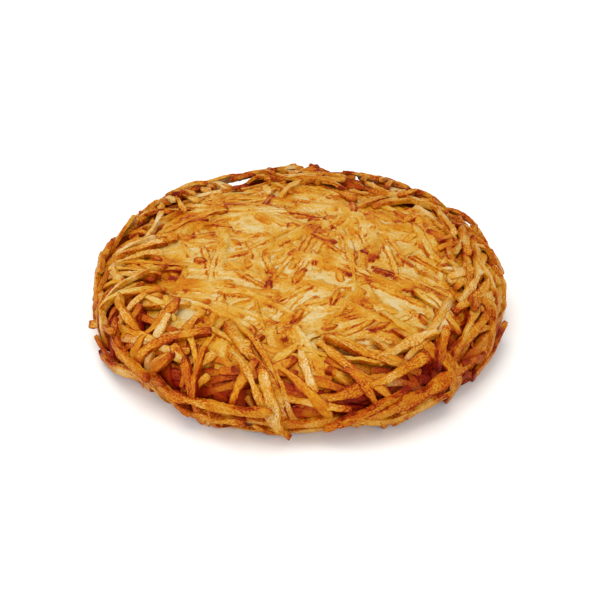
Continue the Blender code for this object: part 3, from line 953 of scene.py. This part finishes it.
def makeMeltedCrust(material):
    reach, skirt = meltedSheet["reach"], meltedSheet["skirt"]
    shape = bmesh.new()
    count = round(2 * reach / heapMap["step"])
    bmesh.ops.create_grid(shape, x_segments=count, y_segments=count, size=reach)
    outside = [vertex for vertex in shape.verts if vertex.co.xy.length > reach]
    bmesh.ops.delete(shape, geom=outside, context="VERTS")
    border = [edge for edge in shape.edges if edge.is_boundary]
    hung = bmesh.ops.extrude_edge_only(shape, edges=border)["geom"]
    lower = [item for item in hung if isinstance(item, bmesh.types.BMVert)]
    bmesh.ops.translate(shape, vec=(0, 0, -1), verts=lower)
    bmesh.ops.holes_fill(shape, edges=[item for item in hung if isinstance(item, bmesh.types.BMEdge)], sides=0)
    bmesh.ops.recalc_face_normals(shape, faces=shape.faces)
    mesh = bpy.data.meshes.new("meltedCrust")
    shape.to_mesh(mesh)
    shape.free()
    flat = np.array([vertex.co for vertex in mesh.vertices])
    walk, azimuth = np.hypot(flat[:, 0], flat[:, 1]), np.arctan2(flat[:, 1], flat[:, 0])
    cells = mapCell(walk, azimuth)
    hanging = flat[:, 2] < -0.5
    height = crust["height"][cells] - meltedSheet["sunkBy"] * smoothStep(meltedSheet["sunkFrom"], reach, walk)
    points, _ = onCake(walk, azimuth, height - skirt * hanging)
    mesh.vertices.foreach_set("co", (points * mm).astype(np.float32).ravel())
    # painted shade: narrow grooves between the melted strands, and places under other strands, are darkened through
    # the deep value
    grooveShade = np.clip(blurMap(crust["height"], meltedSheet["grooveShade"]) - crust["height"] - 0.04, 0.0, 0.6)
    grain = np.column_stack((crust["along"][cells], crust["beside"][cells], height))
    looks = {
        "browning": browning(points, crust["tone"][cells], 0.5) + toastingAndShade["burntEnds"] * crust["burnt"][cells],
        "across": crust["across"][cells],
        "deep": np.clip(heap[cells] - crust["height"][cells] + 2.0 * grooveShade[cells], 0.0, 4.0),
        "fibres": fibres(grain, crust["strand"][cells]),
    }
    writeLooks(mesh, looks)
    # on its map the top lies as it is seen from above, the skirt as a ring round it, and the hidden bottom in a
    # corner
    layer = mesh.uv_layers.new(name="OFBake")
    spread = 0.47 / reach
    for face in mesh.polygons:
        bottom = len(face.vertices) > 4
        for corner in face.loop_indices:
            vertex = mesh.loops[corner].vertex_index
            place = flat[vertex, :2] * spread
            if bottom:
                layer.data[corner].uv = 0.05 + place * 0.1
            else:
                layer.data[corner].uv = 0.5 + place * (1.03 if hanging[vertex] else 1.0)
    finishPiece("meltedCrust", mesh, material)


# the underside, pressed flat by the pan
underside = {"count": 260, "radius": 45.0, "length": (10.0, 26.0), "width": (2.2, 3.8), "thickness": (1.3, 1.9)}


def layUnderside(seed):
    draw = random.Random(seed)
    laid = []
    for i in range(underside["count"]):
        radius = underside["radius"] * math.sqrt((i + 0.5) / underside["count"])
        azimuth = math.radians(goldenAngle * i)
        heading, length = draw.uniform(0.0, math.pi), draw.uniform(*underside["length"])
        away = np.linspace(-0.5, 0.5, 15)
        turn = heading + math.radians(draw.uniform(-30, 30)) * away
        x = radius * math.cos(azimuth) + (np.cumsum(np.cos(turn)) - 7.5 * math.cos(heading)) * length / 15
        y = radius * math.sin(azimuth) + (np.cumsum(np.sin(turn)) - 7.5 * math.sin(heading)) * length / 15
        reach = np.hypot(x, y)
        height = draw.uniform(0.35, 0.9) + 1.6 * smoothStep(38.0, 50.0, reach)
        points = np.column_stack((x, y, height))
        down = np.tile((0.0, 0.0, -1.0), (15, 1))
        laid.append({
            "points": points, "normals": down, "width": draw.uniform(*underside["width"]),
            "thickness": draw.uniform(*underside["thickness"]), "boxy": draw.uniform(2.4, 4.0),
            "twist": (draw.uniform(-12, 12), draw.uniform(-12, 12)), "luck": draw.random(),
            "ends": (draw.random(), draw.random()), "tone": draw.uniform(-0.02, 0.12),
            "seed": draw.uniform(0, 100),
            "walk": np.full(15, footWalk), "azimuth": np.zeros(15), "offset": np.full(15, 9.0),
        })
    return laid


# materials
def addNode(tree, kind, settings=None, links=None):
    node = tree.nodes.new(kind)
    for name, value in (settings or {}).items():
        if name == "stops":
            ramp = node.color_ramp
            while len(ramp.elements) < len(value):
                ramp.elements.new(0.5)
            for element, (place, colour) in zip(ramp.elements, value):
                element.position = place
                element.color = toLinear(colour)
        elif isinstance(name, int) or name in node.inputs:
            node.inputs[name].default_value = value
        else:
            setattr(node, name, value)
    for socket, source in (links or {}).items():
        tree.links.new(source, node.inputs[socket])
    return node


def perMetre(size):
    return 1000.0 / size    # noise scale for features of a size in mm


# Fried potato: raw strands, shallow fried in fat. Starch and sugar brown first where the strand is thin, so its
# edges and ends are darkest, its flat faces stay straw coloured, and the eye sees a fine mottle of blisters.
potatoColours = [
    (0.00, "#C3AE7E"), (0.12, "#C19F5A"), (0.24, "#BE923A"), (0.35, "#BA851E"),
    (0.46, "#B5740C"), (0.56, "#AF6406"), (0.65, "#A65203"), (0.74, "#9C4002"),
    (0.83, "#8F2E01"), (0.92, "#802101"), (1.00, "#6C1400"),
]
# dried out at the rim, the pale ones are more beige
dryColours = [(0.00, "#C6B189"), (0.12, "#C5A36A"), (0.24, "#C2964D"), (0.35, "#BC872B")] + potatoColours[4:]


# between which values of its texture, in noise or in mm of depth, each of these comes in; the depth brings in
# painted shade
comesIn = {"edge": (0.58, 0.95), "patch": (0.3, 0.7), "speck": (0.34, 0.68), "crowd": (0.38, 0.62),
           "dryEdge": (0.36, 0.6), "depthShade": (0.25, 2.6)}


def attribute(tree, name, output="Fac"):
    return addNode(tree, "ShaderNodeAttribute", {"attribute_name": name}).outputs[output]


def mottle(tree, scale, detail, place):
    return addNode(tree, "ShaderNodeTexNoise", {"Scale": scale, "Detail": detail}, {"Vector": place}).outputs["Fac"]


def calculate(tree, operation, *values):
    return addNode(tree, "ShaderNodeMath", {"operation": operation}, dict(enumerate(values))).outputs[0]


def spread(tree, value, look, least, most, kind="LINEAR"):
    # brings a texture into a range, as far as its look has come in
    low, high = comesIn[look]
    settings = {"From Min": low, "From Max": high, "To Min": least, "To Max": most, "interpolation_type": kind}
    return addNode(tree, "ShaderNodeMapRange", settings, {"Value": value}).outputs[0]


def friedPotato(name, looks):
    material = bpy.data.materials.new(name)
    material.use_nodes = True
    tree = material.node_tree
    tree.nodes.clear()
    place = addNode(tree, "ShaderNodeTexCoord").outputs["Object"]
    toastAndShade, across, deep = (attribute(tree, look) for look in ("browning", "across", "deep"))
    grain = attribute(tree, "fibres", "Vector")

    # mottle of a few sizes: patches along a strand, and specks that crowd together in some places
    patches = mottle(tree, 1.0 / looks["patchSize"], 3.0, grain)
    specks = mottle(tree, 1.0 / looks["speckSize"], 2.0, grain)
    crowd = mottle(tree, perMetre(looks["patchSize"] * 1.7), 1.0, place)
    edge = spread(tree, calculate(tree, "ABSOLUTE", across), "edge", 0.0, looks["edge"], "SMOOTHSTEP")
    patchy = spread(tree, patches, "patch", -looks["patch"], looks["patch"])
    speckled = spread(tree, specks, "speck", -looks["speck"] * 0.7, looks["speck"], "SMOOTHSTEP")
    speckled = calculate(tree, "MULTIPLY", speckled, spread(tree, crowd, "crowd", 0.45, 1.0))
    edge = calculate(tree, "MULTIPLY", edge, spread(tree, crowd, "dryEdge", 0.25, 1.0))
    value = toastAndShade
    for more in (edge, patchy, speckled):
        value = calculate(tree, "ADD", value, more)
    colour = addNode(tree, "ShaderNodeValToRGB", {"stops": looks["colours"]}, {"Fac": value})

    # painted shade: strands deeper in, under others, are multiplied towards a dark orange
    shadedColour = addNode(
        tree, "ShaderNodeMix", {"data_type": "RGBA", "blend_type": "MULTIPLY", 7: toLinear("#D65C14")},
        {0: spread(tree, deep, "depthShade", 0.0, looks["depthShade"], "SMOOTHSTEP"), 6: colour.outputs["Color"]},
    )

    # blisters raise the surface, and the patches make it rougher or glossier
    bump = addNode(tree, "ShaderNodeBump", {"Strength": looks["bump"], "Distance": looks["bumpHeight"] * mm},
                   {"Height": mottle(tree, perMetre(looks["blisterSize"]), 2.0, place)})
    rough = spread(tree, patches, "patch", looks["rough"] - 0.1, looks["rough"] + 0.12)
    surface = addNode(
        tree, "ShaderNodeBsdfPrincipled",
        {"IOR": 1.45, "Subsurface Weight": looks["subsurface"], "Subsurface Radius": (1.0, 0.5, 0.18),
         "Subsurface Scale": 1.0 * mm, "Specular IOR Level": 0.09},
        {"Base Color": shadedColour.outputs[2], "Roughness": rough, "Normal": bump.outputs[0]},
    )
    addNode(tree, "ShaderNodeOutputMaterial", {}, {"Surface": surface.outputs[0]})
    return material


# strand fried crisp at the rim: dry and finely speckled
crispLooks = {
    "colours": dryColours, "patchSize": 2.2, "patch": 0.13, "speckSize": 0.33, "speck": 0.27, "edge": 0.30,
    "depthShade": 0.84, "blisterSize": 0.5, "bump": 1.0, "bumpHeight": 0.20, "rough": 0.48, "subsurface": 0.14,
}
crispStrand = friedPotato("crispFriedStrand", crispLooks)
# the same further in, with the crust's colours, less speckled and with more painted shade
innerShadedStrand = friedPotato("innerShadedFriedStrand", dict(crispLooks, colours=potatoColours, speck=0.16, depthShade=0.9))
# strand in the crust: glazed with fat, straw coloured with orange edges
glazedStrand = friedPotato("glazedFriedStrand", {
    "colours": potatoColours, "patchSize": 3.0, "patch": 0.14, "speckSize": 0.45, "speck": 0.20, "edge": 0.44,
    "depthShade": 0.36, "blisterSize": 0.8, "bump": 0.8, "bumpHeight": 0.14, "rough": 0.36, "subsurface": 0.12,
})
# packed potato between the strands: soft, steamed under the crust
softCrust = friedPotato("softPotatoCrust", {
    "colours": potatoColours, "patchSize": 3.5, "patch": 0.12, "speckSize": 0.9, "speck": 0.05, "edge": 0.0,
    "depthShade": 0.85, "blisterSize": 1.2, "bump": 0.4, "bumpHeight": 0.12, "rough": 0.42, "subsurface": 0.3,
})

# making the pieces
layGround()
large = layBigStrands()
layMeltedStrands(12)
sideFill = layFillStrands("side", 11)
goldenOnes = layFillStrands("golden", 13)
rimOnes = layFillStrands("rim", 15) + layFillStrands("bridges", 17) + layFillStrands("tips", 19)
print("strands laid", len(sideFill) + sum(map(len, large.values())) + len(goldenOnes) + len(rimOnes))

standing = large["nestStrands"] + large["drapedStrands"] + large["standingOut"] + large["footStrands"]
joinStrands("nestStrands", standing, 44, 12, crispStrand)
joinStrands("rimStrands", rimOnes, 30, 12, crispStrand)
joinStrands("innerStrands", sideFill, 20, 8, innerShadedStrand)
joinStrands("goldenCrustStrands", goldenOnes, 22, 10, glazedStrand)
joinStrands("undersideStrands", layUnderside(16), 14, 8, crispStrand)
makeMeltedCrust(glazedStrand)
makeCore(softCrust)

# floor, light and camera
studio = {
    "floorColour": "#F4F3F1", "floorSize": 3.0,
    "lights": (
        # name, place, size, power in watts, colour
        ("overheadSoftbox", (-0.10, 0.04, 0.75), 0.70, 3.6, "#FFFDF8"),
        ("frontFill", (0.25, -0.80, 0.45), 0.60, 2.9, "#FFFFFF"),
        ("leftFill", (-0.75, -0.30, 0.40), 0.60, 2.0, "#FFFFFF"),
    ),
    "world": 0.72,
}


def makeStudio():
    shape = bmesh.new()
    bmesh.ops.create_grid(shape, x_segments=1, y_segments=1, size=studio["floorSize"] / 2)
    mesh = bpy.data.meshes.new("floor")
    shape.to_mesh(mesh)
    shape.free()
    floor = bpy.data.objects.new("floor", mesh)
    bpy.context.scene.collection.objects.link(floor)
    paper = bpy.data.materials.new("whitePaper")    # matt studio paper
    paper.use_nodes = True
    surface = paper.node_tree.nodes["Principled BSDF"]
    surface.inputs["Base Color"].default_value = toLinear(studio["floorColour"])
    surface.inputs["Roughness"].default_value = 0.9
    mesh.materials.append(paper)
    aim = Vector(photoCamera["aim"])
    for name, place, size, power, colour in studio["lights"]:
        light = bpy.data.lights.new(name, "AREA")
        light.shape = "DISK"
        light.size = size
        light.energy = power
        light.color = toLinear(colour)[:3]
        lamp = bpy.data.objects.new(name, light)
        lamp.location = place
        lamp.rotation_euler = (aim - Vector(place)).to_track_quat("-Z", "Y").to_euler()
        bpy.context.scene.collection.objects.link(lamp)
    world = bpy.data.worlds.new("studioAir")
    world.use_nodes = True
    sky = world.node_tree.nodes["Background"]
    sky.inputs["Color"].default_value = (1.0, 1.0, 1.0, 1.0)
    sky.inputs["Strength"].default_value = studio["world"]
    bpy.context.scene.world = world
    lens = bpy.data.cameras.new("camera")
    lens.lens = photoCamera["lens"]
    lens.sensor_width = photoCamera["sensor"]
    lens.clip_start = 0.01
    lens.dof.use_dof = False
    camera = bpy.data.objects.new("camera", lens)
    camera.location, away = cameraPlace()
    camera.rotation_euler = (-away).to_track_quat("-Z", "Y").to_euler()
    bpy.context.scene.collection.objects.link(camera)
    bpy.context.scene.camera = camera
    bpy.context.scene.view_settings.view_transform = "Standard"
    bpy.context.scene.view_settings.look = "None"


makeStudio()
print("studio ready")
